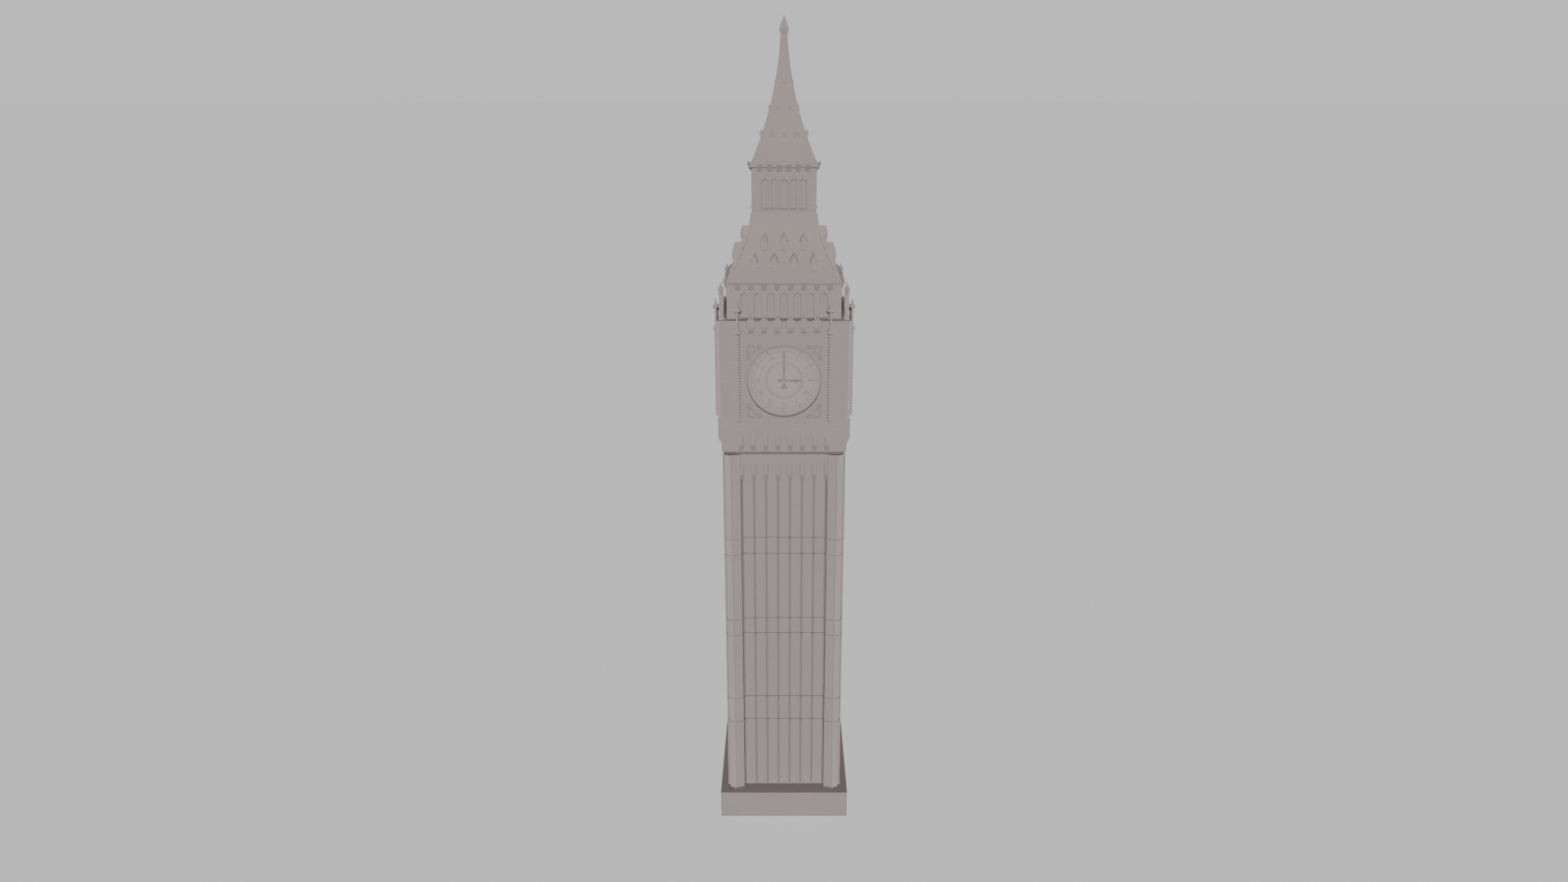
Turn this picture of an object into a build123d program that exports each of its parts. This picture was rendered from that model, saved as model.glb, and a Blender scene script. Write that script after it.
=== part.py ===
# Clock tower on a plinth, a 1:10 scale model of a tower about 84 m tall.
# The origin is in the middle of the plinth's underside, +Z up, and the front faces -Y.
import os

from build123d import *

os.makedirs("parts", exist_ok=True)

# Plinth
plinth_width = 1400.0
plinth_height = 307.0

# Shaft: seven bays a side between ribs, with piers at the corners
shaft_height = 3925.0
bay_face = 534.5
shaft_wall_thickness = 90.0
bay_pitch = 121.8
rib_count = 8
rib_width = 25.0
rib_rise = 14.0
pier_flank_face = 586.0
pier_ridge_face = 610.0
pier_ridge_offset = 535.0
pier_corner = 590.0

# Shaft head: a plain band carried on brackets over the ribs
head_band_height = 102.0
head_band_rise = 35.5
bracket_width = 35.0
bracket_front_height = 117.0
bracket_slope_height = 71.0

# Neck: the edge of the clock room floor
neck_height = 33.0
neck_half_width = 552.0

# Corbel course under the clock stage
corbel_set_back = 29.0
corbel_straight_height = 82.0
corbel_flare_height = 89.0
corbel_lip_rise = 7.0
corbel_wall_thickness = 90.0
corbel_bracket_rise = 6.0
corbel_bracket_drop = 149.0
corbel_bracket_front_drop = 99.0
corbel_bracket_up = 66.0

# Clock stage
clock_half_width = 651.0
clock_stage_height = 1171.0
clock_wall_thickness = 90.0
dial_centre_up = 568.0
recess_radius = 358.0
recess_depth = 60.0
dial_thickness = 15.0
dial_ledge = 28.0
belfry_floor_thickness = 30.0

# Dial and hands
seat_gap = 0.3
running_gap = 5.0
ring_rise = 3.0
dial_sides = 36
hour_band_outer = 290.0
hour_band_inner = 230.0
dial_boss_radius = 24.0
dial_boss_rise = 5.0
boss_sides = 8
arbor_radius = 8.0
hand_hub_radius = 20.0
hand_thickness = 6.0
cap_radius = 14.0
cap_thickness = 4.0
hour_hand_length = 183.0
hour_hand_tail = 69.0
hour_hand_width = 34.0
minute_hand_length = 329.0
minute_hand_tail = 78.0
minute_hand_width = 26.0
minute_tail_width = 66.0

# Gablets along the parapet between the colonnettes
gablet_count = 6
gablet_pitch = 127.0
gablet_width = 86.0
gablet_rise = 35.0
gablet_side_drop = 56.0
gablet_foot_drop = 85.0
gablet_front_rise = 10.0
gablet_thickness = 30.0
parapet_depth = 130.0
parapet_rise = 4.0

# Colonnettes, two a side, engaged on the clock wall
colonnette_from_corner = 205.0
colonnette_centre_out = 9.0
colonnette_foot_drop = 990.0
colonnette_radius = 18.0
colonnette_slim_radius = 10.0
knob_radius = 33.0
knob_height = 52.0
colonnette_knob_levels = [-110.0, 105.0]
colonnette_tip_up = 185.0

# Corner pinnacles on the clock stage
pinnacle_from_corner = 51.0
pinnacle_width = 48.0
pinnacle_knob_up = 300.0
pinnacle_tip_up = 360.0
pinnacle_tip_radius = 3.0

# Belfry
walkway_width = 101.0
belfry_height = 290.0
belfry_wall_thickness = 100.0
belfry_rib_count = 8
belfry_end_margin = 106.5
belfry_bay_share = 0.6
belfry_bay_depth = 40.0
belfry_bay_height = 228.0
bay_head_rise = 30.0
belfry_cornice_height = 58.0
belfry_cornice_rise = 20.0
belfry_shield_width = 51.0
belfry_shield_drop = 18.0
shield_rise = 6.0
shield_point_share = 0.35

# Lower roof, concave, with two rows of dormers
lower_roof_height = 637.0
lower_roof_ledge = 15.0
lower_roof_middle_up = 363.0
lower_roof_middle_half_width = 374.5
lower_roof_top_half_width = 311.0
roof_top_ledge = 1.0
roof_shell_thickness = 25.0

# Dormers, each row given from the foot of its roof
dormer_hood_rise = 8.0
lower_dormer_hood = 9.0
upper_dormer_hood = 5.0
lower_dormer_pitch = 191.4
lower_dormer_width = 58.0
lower_dormer_rows = [
    {"count": 4, "front": 505.0, "foot": 102.0, "shoulder": 202.0, "ridge": 267.0},
    {"count": 3, "front": 425.0, "foot": 292.0, "shoulder": 387.0, "ridge": 445.0},
]
upper_dormer_pitch = 121.0
upper_dormer_width = 38.0
upper_dormer_rows = [
    {"count": 3, "front": 233.0, "foot": 172.0, "shoulder": 222.0, "ridge": 263.0},
    {"count": 2, "front": 147.5, "foot": 421.0, "shoulder": 458.0, "ridge": 495.0},
    {"count": 1, "front": 89.0, "foot": 658.0, "shoulder": 688.0, "ridge": 720.0},
]

# Lantern
lantern_height = 380.0
lantern_wall_thickness = 50.0
lantern_bay_count = 5
lantern_pitch = 91.0
lantern_bay_width = 70.0
lantern_bay_depth = 20.0
lantern_bay_height = 254.0
lantern_sill_height = 34.0
lantern_cornice_rise = 23.0
lantern_cornice_foot_rise = 4.0
lantern_cornice_foot_height = 47.0
lantern_cornice_head_height = 50.0
lantern_shield_count = 6
lantern_shield_width = 49.0
lantern_shield_height = 70.0
lantern_shield_drop = 3.0

# Upper roof
upper_roof_ledge = 29.0
upper_roof_height = 1122.0
upper_roof_middle_up = 526.0
upper_roof_middle_half_width = 121.7
upper_roof_top_half_width = 29.8

# Finial
finial_half_width = 45.3
finial_widest_up = 59.0
finial_height = 176.0
finial_tip_half_width = 3.0

# Levels above the ground, each stage standing on the one below
shaft_top = plinth_height + shaft_height
neck_top = shaft_top + neck_height
clock_foot = neck_top + corbel_straight_height + corbel_flare_height
clock_top = clock_foot + clock_stage_height
clock_wall_top = clock_top - belfry_floor_thickness
dial_level = clock_foot + dial_centre_up
belfry_top = clock_top + belfry_height
lower_roof_foot = belfry_top + belfry_cornice_height
lantern_foot = lower_roof_foot + lower_roof_height
lantern_top = lantern_foot + lantern_height
lantern_cornice_edge = lantern_top + lantern_cornice_foot_height
upper_roof_foot = lantern_cornice_edge + lantern_cornice_head_height
upper_roof_top = upper_roof_foot + upper_roof_height

# Half widths that follow the stage below
corbel_half_width = clock_half_width - corbel_set_back
corbel_lip_half_width = clock_half_width + corbel_lip_rise
colonnette_offset = clock_half_width - colonnette_from_corner
pinnacle_offset = clock_half_width - pinnacle_from_corner
belfry_half_width = clock_half_width - walkway_width
belfry_cornice_half_width = belfry_half_width + belfry_cornice_rise
lower_roof_foot_half_width = belfry_cornice_half_width - lower_roof_ledge
lantern_half_width = lower_roof_top_half_width - roof_top_ledge
lantern_cornice_half_width = lantern_half_width + lantern_cornice_rise
lantern_cornice_foot_half_width = lantern_half_width + lantern_cornice_foot_rise
upper_roof_foot_half_width = lantern_cornice_half_width - upper_roof_ledge

# Places worked out from the sizes above
belfry_pitch = 2 * (belfry_half_width - belfry_end_margin) / (belfry_rib_count - 1)
belfry_bay_width = belfry_bay_share * belfry_pitch
pier_inner = (rib_count - 1) / 2 * bay_pitch + rib_width / 2
rib_places = [(index - (rib_count - 1) / 2) * bay_pitch for index in range(rib_count)]
belfry_rib_places = [
    (index - (belfry_rib_count - 1) / 2) * belfry_pitch for index in range(belfry_rib_count)
]
belfry_bay_places = [place + belfry_pitch / 2 for place in belfry_rib_places[:-1]]
lantern_bay_places = [
    (index - (lantern_bay_count - 1) / 2) * lantern_pitch for index in range(lantern_bay_count)
]
lantern_shield_places = [
    (index - (lantern_shield_count - 1) / 2) * lantern_pitch for index in range(lantern_shield_count)
]
belfry_shield_foot = belfry_top - belfry_shield_drop
belfry_shield_height = lower_roof_foot - belfry_shield_foot
lantern_shield_foot = lantern_top - lantern_shield_drop
gablet_places = [(index - (gablet_count - 1) / 2) * gablet_pitch for index in range(gablet_count)]
dial_face = clock_half_width - recess_depth
hand_hub_thickness = hand_thickness + running_gap
hour_hub_back = dial_face + dial_boss_rise + seat_gap
minute_hub_back = hour_hub_back + hand_hub_thickness + seat_gap
cap_back = minute_hub_back + hand_hub_thickness + seat_gap
side_turns = {"front": 0, "right": 90, "back": 180, "left": 270}


def write(solid, name):
    solid.label = name
    export_step(solid, f"parts/{name}.step")


def write_sides(solid, name):
    for side, turn in side_turns.items():
        write(solid.rotate(Axis.Z, turn), f"{name}_{side}")


def on_all_sides(part):
    # The solids of one side or corner, repeated on the other three
    turns = side_turns.values()
    return Compound(children=[solid.rotate(Axis.Z, turn) for turn in turns for solid in part.solids()])


def mitred_wall(half_width, thickness, foot, height):
    # One side of a square room, its ends cut along the diagonals
    inner = half_width - thickness
    with BuildPart() as wall:
        with BuildSketch(Plane.XY.offset(foot)):
            Polygon(
                (-half_width, -half_width),
                (half_width, -half_width),
                (inner, -inner),
                (-inner, -inner),
                align=None,
            )
        extrude(amount=height)
    return wall.part


def pointed_bays(places, width, foot, side_height, head_rise):
    # Outlines of tall bays with pointed heads
    with BuildSketch(Plane.XY) as outlines:
        for place in places:
            with Locations((place, foot)):
                Polygon(
                    (-width / 2, 0),
                    (width / 2, 0),
                    (width / 2, side_height),
                    (0, side_height + head_rise),
                    (-width / 2, side_height),
                    align=None,
                )
    return outlines.sketch


def many_sided(outline, sides, reach):
    # A piece with flat or hollow sides that all follow one upright outline, as on a square roof
    with BuildPart() as piece:
        for index in range(sides // 2):
            with BuildSketch(Plane.XZ.rotated((0, 0, index * 360 / sides))):
                add(outline)
            extrude(amount=reach, both=True, mode=Mode.INTERSECT if index else Mode.ADD)
    return piece.part


def stepped_outline(sections):
    # An upright outline through the given levels and half widths, the same on both hands
    right = [(half_width, level) for level, half_width in sections]
    left = [(-half_width, level) for level, half_width in reversed(sections)]
    with BuildSketch(Plane.XY) as outline:
        Polygon(*right, *left, align=None)
    return outline.sketch


def roof_outline(foot, foot_half, middle_up, middle_half, height, top_half, inset):
    # Both edges of the outline are arcs that hollow towards the middle
    with BuildSketch(Plane.XY) as outline:
        with BuildLine():
            right = ThreePointArc(
                (foot_half - inset, foot),
                (middle_half - inset, foot + middle_up),
                (top_half - inset, foot + height),
            )
            left = ThreePointArc(
                (inset - foot_half, foot),
                (inset - middle_half, foot + middle_up),
                (inset - top_half, foot + height),
            )
            Line(right @ 0, left @ 0)
            Line(right @ 1, left @ 1)
        make_face()
    return outline.sketch


def shields(places, width, height, foot, wall_face, edge):
    # A row of bare shields on every side: each leans out from the wall at its pointed foot to its flat top
    point = width * shield_point_share
    with BuildPart() as row:
        with BuildSketch(Plane.XZ.offset(wall_face)):
            for place in places:
                with Locations((place, foot)):
                    Polygon(
                        (0, 0),
                        (width / 2, point),
                        (width / 2, height),
                        (-width / 2, height),
                        (-width / 2, point),
                        align=None,
                    )
        extrude(amount=edge - wall_face + shield_rise)
        with BuildSketch(Plane.YZ):
            Polygon(
                (-wall_face, foot),
                (-wall_face, foot + height),
                (-edge - shield_rise, foot + height),
                align=None,
            )
        extrude(amount=edge, both=True, mode=Mode.INTERSECT)
    with BuildPart() as rows:
        with PolarLocations(0, 4):
            add(row.part)
    return rows.part


def dormers(rows, pitch, width, hood_thickness, roof_foot, roof):
    # Gabled dormers on every side of a roof, each with a hood, cut off where they meet the slope
    with BuildPart() as side:
        for row in rows:
            half = width / 2
            foot, shoulder, ridge = [roof_foot + row[name] for name in ("foot", "shoulder", "ridge")]
            for index in range(row["count"]):
                middle = (index - (row["count"] - 1) / 2) * pitch
                with BuildSketch(Plane.XZ.offset(row["front"] - dormer_hood_rise)):
                    with Locations((middle, 0)):
                        Polygon(
                            (-half, foot),
                            (half, foot),
                            (half, shoulder),
                            (0, ridge),
                            (-half, shoulder),
                            align=None,
                        )
                extrude(amount=dormer_hood_rise - row["front"])
                hood = half + hood_thickness
                with BuildSketch(Plane.XZ.offset(row["front"])):
                    with Locations((middle, 0)):
                        Polygon(
                            (-half, shoulder),
                            (-hood, shoulder),
                            (0, ridge + hood_thickness),
                            (hood, shoulder),
                            (half, shoulder),
                            (0, ridge - hood_thickness),
                            align=None,
                        )
                extrude(amount=-row["front"])
        add(roof, mode=Mode.SUBTRACT)
    return on_all_sides(side.part)


# Plinth, its front left bare
with BuildPart() as plinth:
    with BuildSketch(Plane.XY):
        Rectangle(plinth_width, plinth_width)
    extrude(amount=plinth_height)
write(plinth.part, "plinth")

# Shaft wall: panel, ribs, brackets and head band
with BuildPart() as shaft_wall:
    with BuildSketch(Plane.XZ.offset(bay_face - shaft_wall_thickness)):
        with Locations((0, plinth_height + shaft_height / 2)):
            Rectangle(2 * pier_inner, shaft_height)
    extrude(amount=shaft_wall_thickness)
    with BuildSketch(Plane.XY.offset(plinth_height)):
        for place in rib_places:
            Polygon(
                (place - rib_width / 2, -bay_face),
                (place + rib_width / 2, -bay_face),
                (place, -bay_face - rib_rise),
                align=None,
            )
    extrude(amount=shaft_height)
    with BuildSketch(Plane.XZ.offset(bay_face)):
        with Locations((0, shaft_top - head_band_height / 2)):
            Rectangle(2 * pier_inner, head_band_height)
    extrude(amount=head_band_rise)
    bracket_foot = shaft_top - head_band_height - bracket_front_height - bracket_slope_height
    for place in rib_places:
        left = max(place - bracket_width / 2, -pier_inner)
        right = min(place + bracket_width / 2, pier_inner)
        with BuildSketch(Plane.YZ.offset(left)):
            Polygon(
                (-bay_face, bracket_foot),
                (-bay_face - head_band_rise, bracket_foot + bracket_slope_height),
                (-bay_face - head_band_rise, shaft_top - head_band_height),
                (-bay_face, shaft_top - head_band_height),
                align=None,
            )
        extrude(amount=right - left)
write_sides(shaft_wall.part, "shaft_wall")

# Corner piers: two shallow V faces that meet at the corner
wall_back = bay_face - shaft_wall_thickness
with BuildPart() as corner_pier:
    with BuildSketch(Plane.XY.offset(plinth_height)):
        Polygon(
            (pier_inner, wall_back),
            (pier_inner, pier_flank_face),
            (pier_ridge_offset, pier_ridge_face),
            (pier_corner, pier_corner),
            (pier_ridge_face, pier_ridge_offset),
            (pier_flank_face, pier_inner),
            (wall_back, pier_inner),
            align=None,
        )
    extrude(amount=shaft_height)
write(on_all_sides(corner_pier.part), "corner_piers")

# Clock room floor, whose edge is the neck over the shaft
with BuildPart() as clock_room_floor:
    with BuildSketch(Plane.XY.offset(shaft_top)):
        Rectangle(2 * neck_half_width, 2 * neck_half_width)
    extrude(amount=neck_height)
write(clock_room_floor.part, "clock_room_floor")

# Corbel course: a straight band that flares out to a lip, with a bracket on each rib's line
corbel_inner = corbel_half_width - corbel_wall_thickness
bracket_front = corbel_lip_half_width + corbel_bracket_rise
with BuildPart() as corbel:
    with BuildSketch(Plane.YZ):
        Polygon(
            (-corbel_inner, neck_top),
            (-corbel_half_width, neck_top),
            (-corbel_half_width, neck_top + corbel_straight_height),
            (-corbel_lip_half_width, clock_foot),
            (-corbel_inner, clock_foot),
            align=None,
        )
    extrude(amount=corbel_lip_half_width, both=True)
    for place in rib_places:
        with BuildSketch(Plane.YZ.offset(place - bracket_width / 2)):
            Polygon(
                (-corbel_half_width, clock_foot - corbel_bracket_drop),
                (-bracket_front, clock_foot - corbel_bracket_front_drop),
                (-bracket_front, clock_foot),
                (-corbel_half_width, clock_foot),
                align=None,
            )
        extrude(amount=bracket_width)
    reach = 2 * corbel_lip_half_width
    with BuildSketch(Plane.XY.offset(neck_top)):
        Polygon((0, 0), (reach, -reach), (-reach, -reach), align=None)
    extrude(amount=clock_foot - neck_top, mode=Mode.INTERSECT)
write_sides(corbel.part, "corbel")

# Clock wall with the round opening that the dial is seated in
with BuildPart() as clock_wall:
    add(mitred_wall(clock_half_width, clock_wall_thickness, clock_foot, clock_wall_top - clock_foot))
    with BuildSketch(Plane.XZ.offset(clock_half_width)):
        for place in rib_places:
            with Locations((place, clock_foot + corbel_bracket_up / 2)):
                Rectangle(bracket_width, corbel_bracket_up)
    extrude(amount=bracket_front - clock_half_width)
    with BuildSketch(Plane.XZ.offset(clock_half_width)):
        with Locations((0, dial_level)):
            RegularPolygon(recess_radius, dial_sides)
    extrude(amount=-(recess_depth + dial_thickness), mode=Mode.SUBTRACT)
    with BuildSketch(Plane.XZ.offset(clock_half_width)):
        with Locations((0, dial_level)):
            RegularPolygon(recess_radius - dial_ledge, 8)
    extrude(amount=-clock_wall_thickness, mode=Mode.SUBTRACT)
write_sides(clock_wall.part, "clock_wall")

# Dial: a many-sided disc with a raised hour band, and the arbor and cap that carry the hands
with BuildPart() as dial:
    with BuildSketch(Plane.XZ.offset(dial_face - dial_thickness)):
        with Locations((0, dial_level)):
            RegularPolygon(recess_radius - seat_gap, dial_sides)
    extrude(amount=dial_thickness)
    with BuildSketch(Plane.XZ.offset(dial_face)):
        with Locations((0, dial_level)):
            RegularPolygon(hour_band_outer, dial_sides)
            RegularPolygon(hour_band_inner, dial_sides, mode=Mode.SUBTRACT)
    extrude(amount=ring_rise)
    with BuildSketch(Plane.XZ.offset(dial_face)):
        with Locations((0, dial_level)):
            RegularPolygon(dial_boss_radius, boss_sides)
    extrude(amount=dial_boss_rise)
    with BuildSketch(Plane.XZ.offset(dial_face)):
        with Locations((0, dial_level)):
            Circle(arbor_radius)
    extrude(amount=cap_back - dial_face)
    with BuildSketch(Plane.XZ.offset(cap_back)):
        with Locations((0, dial_level)):
            RegularPolygon(cap_radius, boss_sides)
    extrude(amount=cap_thickness)
write_sides(dial.part, "dial")

# Hour hand, pointing at three: a leaf for a tail, a waist, then a leaf drawn out to a point
hour_hand_edge = [
    (-hour_hand_tail, 0.0),
    (-0.8 * hour_hand_tail, 0.5 * hour_hand_width),
    (-0.4 * hour_hand_tail, 0.2 * hour_hand_width),
    (0.4 * hour_hand_length, 0.25 * hour_hand_width),
    (0.6 * hour_hand_length, 0.5 * hour_hand_width),
    (0.72 * hour_hand_length, 0.3 * hour_hand_width),
    (hour_hand_length, 0.0),
]
with BuildPart() as hour_hand:
    with BuildSketch(Plane.XZ.offset(hour_hub_back + hand_hub_thickness - hand_thickness)):
        with Locations((0, dial_level)):
            Polygon(*hour_hand_edge, *[(x, -y) for x, y in reversed(hour_hand_edge[:-1])], align=None)
    extrude(amount=hand_thickness)
    with BuildSketch(Plane.XZ.offset(hour_hub_back)):
        with Locations((0, dial_level)):
            RegularPolygon(hand_hub_radius, boss_sides)
    extrude(amount=hand_hub_thickness)
    with BuildSketch(Plane.XZ.offset(hour_hub_back)):
        with Locations((0, dial_level)):
            Circle(arbor_radius + seat_gap)
    extrude(amount=hand_hub_thickness, mode=Mode.SUBTRACT)
write_sides(hour_hand.part, "hour_hand")

# Minute hand, pointing at twelve, with a flared tail
with BuildPart() as minute_hand:
    with BuildSketch(Plane.XZ.offset(minute_hub_back + hand_hub_thickness - hand_thickness)):
        with Locations((0, dial_level)):
            Polygon(
                (-minute_tail_width / 2, -minute_hand_tail),
                (minute_tail_width / 2, -minute_hand_tail),
                (minute_hand_width / 2, 0),
                (0, minute_hand_length),
                (-minute_hand_width / 2, 0),
                align=None,
            )
    extrude(amount=hand_thickness)
    with BuildSketch(Plane.XZ.offset(minute_hub_back)):
        with Locations((0, dial_level)):
            RegularPolygon(hand_hub_radius, boss_sides)
    extrude(amount=hand_hub_thickness)
    with BuildSketch(Plane.XZ.offset(minute_hub_back)):
        with Locations((0, dial_level)):
            Circle(arbor_radius + seat_gap)
    extrude(amount=hand_hub_thickness, mode=Mode.SUBTRACT)
write_sides(minute_hand.part, "minute_hand")

# Belfry floor: the slab that covers the clock stage and is the walkway round the belfry
with BuildPart() as belfry_floor:
    with BuildSketch(Plane.XY.offset(clock_wall_top)):
        Rectangle(2 * clock_half_width, 2 * clock_half_width)
    extrude(amount=belfry_floor_thickness)
write(belfry_floor.part, "belfry_floor")

# Gablet parapets: a thin plate over the wall's head, with six gablets that rise over the slab
parapet_half = colonnette_offset - knob_radius - seat_gap
with BuildPart() as gablet_parapet:
    with BuildSketch(Plane.XZ.offset(clock_half_width)):
        with Locations((0, clock_top - parapet_depth / 2)):
            Rectangle(2 * parapet_half, parapet_depth)
    extrude(amount=parapet_rise)
    with BuildSketch(Plane.XZ.offset(clock_half_width)):
        for place in gablet_places:
            with Locations((place, clock_top)):
                Polygon(
                    (-gablet_width / 2, 0),
                    (-gablet_width / 2, -gablet_side_drop),
                    (0, -gablet_foot_drop),
                    (gablet_width / 2, -gablet_side_drop),
                    (gablet_width / 2, 0),
                    (0, gablet_rise),
                    align=None,
                )
    extrude(amount=gablet_front_rise)
    with BuildSketch(Plane.XZ.offset(clock_half_width)):
        for place in gablet_places:
            with Locations((place, clock_top)):
                Polygon((-gablet_width / 2, 0), (gablet_width / 2, 0), (0, gablet_rise), align=None)
    extrude(amount=gablet_front_rise - gablet_thickness)
write(on_all_sides(gablet_parapet.part), "gablet_parapets")

# Colonnettes: turned shafts with two knobs and a slim tip, their backs flat against the wall
colonnette_foot = clock_top - colonnette_foot_drop
lower_knob, upper_knob = [clock_top + level for level in colonnette_knob_levels]
colonnette_sections = [
    (colonnette_foot, colonnette_radius),
    (lower_knob - knob_height / 2, colonnette_radius),
    (lower_knob, knob_radius),
    (lower_knob + knob_height / 2, colonnette_slim_radius),
    (upper_knob - knob_height / 2, colonnette_slim_radius),
    (upper_knob, knob_radius),
    (upper_knob + knob_height / 2, colonnette_slim_radius),
    (clock_top + colonnette_tip_up, pinnacle_tip_radius),
]
colonnette_out = clock_half_width + colonnette_centre_out
with BuildPart() as colonnette_pair:
    with Locations((-colonnette_offset, -colonnette_out, 0), (colonnette_offset, -colonnette_out, 0)):
        add(many_sided(stepped_outline(colonnette_sections), 8, knob_radius))
    with BuildSketch(Plane.XY.offset(colonnette_foot)):
        with Locations((0, -clock_half_width / 2)):
            Rectangle(2 * clock_half_width, clock_half_width)
    extrude(amount=clock_top - colonnette_foot, mode=Mode.SUBTRACT)
write(on_all_sides(colonnette_pair.part), "colonnettes")

# Corner pinnacles: eight-sided shafts with a knob and a slim point
pinnacle_knob = clock_top + pinnacle_knob_up
pinnacle_sections = [
    (clock_top, pinnacle_width / 2),
    (pinnacle_knob - knob_height / 2, pinnacle_width / 2),
    (pinnacle_knob, knob_radius),
    (pinnacle_knob + knob_height / 2, colonnette_slim_radius),
    (clock_top + pinnacle_tip_up, pinnacle_tip_radius),
]
pinnacle = many_sided(stepped_outline(pinnacle_sections), 8, knob_radius).moved(
    Location((pinnacle_offset, pinnacle_offset, 0))
)
write(on_all_sides(pinnacle), "corner_pinnacles")

# Belfry wall: blind bays between ribs
with BuildPart() as belfry_wall:
    add(mitred_wall(belfry_half_width, belfry_wall_thickness, clock_top, belfry_height))
    with BuildSketch(Plane.XZ.offset(belfry_half_width)):
        add(pointed_bays(belfry_bay_places, belfry_bay_width, clock_top, belfry_bay_height, bay_head_rise))
    extrude(amount=-belfry_bay_depth, mode=Mode.SUBTRACT)
write_sides(belfry_wall.part, "belfry_wall")

# Belfry cornice: a slab whose edge leans out, with a row of bare shields on each side
belfry_cornice_sections = [(belfry_top, belfry_half_width), (lower_roof_foot, belfry_cornice_half_width)]
with BuildPart() as belfry_cornice:
    add(many_sided(stepped_outline(belfry_cornice_sections), 4, belfry_cornice_half_width))
    add(
        shields(
            belfry_rib_places,
            belfry_shield_width,
            belfry_shield_height,
            belfry_shield_foot,
            belfry_half_width,
            belfry_cornice_half_width,
        )
    )
write(belfry_cornice.part, "belfry_cornice")

# Lower roof: a hollow shell with four concave slopes
lower_roof_sizes = [
    lower_roof_foot,
    lower_roof_foot_half_width,
    lower_roof_middle_up,
    lower_roof_middle_half_width,
    lower_roof_height,
    lower_roof_top_half_width,
]
lower_roof_form = many_sided(roof_outline(*lower_roof_sizes, 0), 4, lower_roof_foot_half_width)
lower_roof_space = roof_outline(*lower_roof_sizes, roof_shell_thickness)
with BuildPart() as lower_roof:
    add(lower_roof_form)
    add(many_sided(lower_roof_space, 4, lower_roof_foot_half_width), mode=Mode.SUBTRACT)
write(lower_roof.part, "lower_roof")
lower_dormers = dormers(
    lower_dormer_rows,
    lower_dormer_pitch,
    lower_dormer_width,
    lower_dormer_hood,
    lower_roof_foot,
    lower_roof_form,
)
write(lower_dormers, "lower_dormers")

# Lantern wall: five recessed bays over a plain sill
with BuildPart() as lantern_wall:
    add(mitred_wall(lantern_half_width, lantern_wall_thickness, lantern_foot, lantern_height))
    with BuildSketch(Plane.XZ.offset(lantern_half_width)):
        add(
            pointed_bays(
                lantern_bay_places,
                lantern_bay_width,
                lantern_foot + lantern_sill_height,
                lantern_bay_height,
                bay_head_rise,
            )
        )
    extrude(amount=-lantern_bay_depth, mode=Mode.SUBTRACT)
write_sides(lantern_wall.part, "lantern_wall")

# Lantern cornice: a slab with an edge like a blunt wedge
lantern_cornice_sections = [
    (lantern_top, lantern_cornice_foot_half_width),
    (lantern_cornice_edge, lantern_cornice_half_width),
    (upper_roof_foot, upper_roof_foot_half_width),
]
with BuildPart() as lantern_cornice:
    add(many_sided(stepped_outline(lantern_cornice_sections), 4, lantern_cornice_half_width))
    add(
        shields(
            lantern_shield_places,
            lantern_shield_width,
            lantern_shield_height,
            lantern_shield_foot,
            lantern_half_width,
            lantern_cornice_half_width,
        )
    )
write(lantern_cornice.part, "lantern_cornice")

# Upper roof: a hollow concave spire
upper_roof_sizes = [
    upper_roof_foot,
    upper_roof_foot_half_width,
    upper_roof_middle_up,
    upper_roof_middle_half_width,
    upper_roof_height,
    upper_roof_top_half_width,
]
upper_roof_form = many_sided(roof_outline(*upper_roof_sizes, 0), 4, upper_roof_foot_half_width)
upper_roof_space = roof_outline(*upper_roof_sizes, roof_shell_thickness)
with BuildPart() as upper_roof:
    add(upper_roof_form)
    add(many_sided(upper_roof_space, 4, upper_roof_foot_half_width), mode=Mode.SUBTRACT)
write(upper_roof.part, "upper_roof")
upper_dormers = dormers(
    upper_dormer_rows,
    upper_dormer_pitch,
    upper_dormer_width,
    upper_dormer_hood,
    upper_roof_foot,
    upper_roof_form,
)
write(upper_dormers, "upper_dormers")

# Finial: a four-sided diamond on the spire's top, drawn out to a point
finial_sections = [
    (upper_roof_top, upper_roof_top_half_width),
    (upper_roof_top + finial_widest_up, finial_half_width),
    (upper_roof_top + finial_height, finial_tip_half_width),
]
write(many_sided(stepped_outline(finial_sections), 4, finial_half_width), "finial")
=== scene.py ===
import math

import bpy
from mathutils import Matrix


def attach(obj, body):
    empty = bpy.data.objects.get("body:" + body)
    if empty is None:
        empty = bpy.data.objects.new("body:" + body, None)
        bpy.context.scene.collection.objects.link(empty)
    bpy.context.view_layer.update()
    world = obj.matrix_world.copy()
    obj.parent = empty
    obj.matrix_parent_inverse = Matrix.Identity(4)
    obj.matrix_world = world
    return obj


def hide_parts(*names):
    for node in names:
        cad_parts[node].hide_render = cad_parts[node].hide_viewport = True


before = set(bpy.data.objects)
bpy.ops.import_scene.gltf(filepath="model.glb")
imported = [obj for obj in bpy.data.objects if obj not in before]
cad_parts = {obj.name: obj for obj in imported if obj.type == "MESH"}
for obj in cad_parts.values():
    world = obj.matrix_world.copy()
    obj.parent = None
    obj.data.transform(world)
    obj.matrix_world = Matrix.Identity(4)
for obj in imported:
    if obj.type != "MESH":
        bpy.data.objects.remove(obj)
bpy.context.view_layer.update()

# Camera: in front of the tower at about the height of its spire, looking down at the clock stage's foot.
# The lens and the height were fitted to the plinth's and the tower's corners in the photograph.
camera_distance, camera_height, camera_tilt = 10.669, 7.732, math.radians(71.6)
bpy.ops.object.select_all(action="DESELECT")
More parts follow.
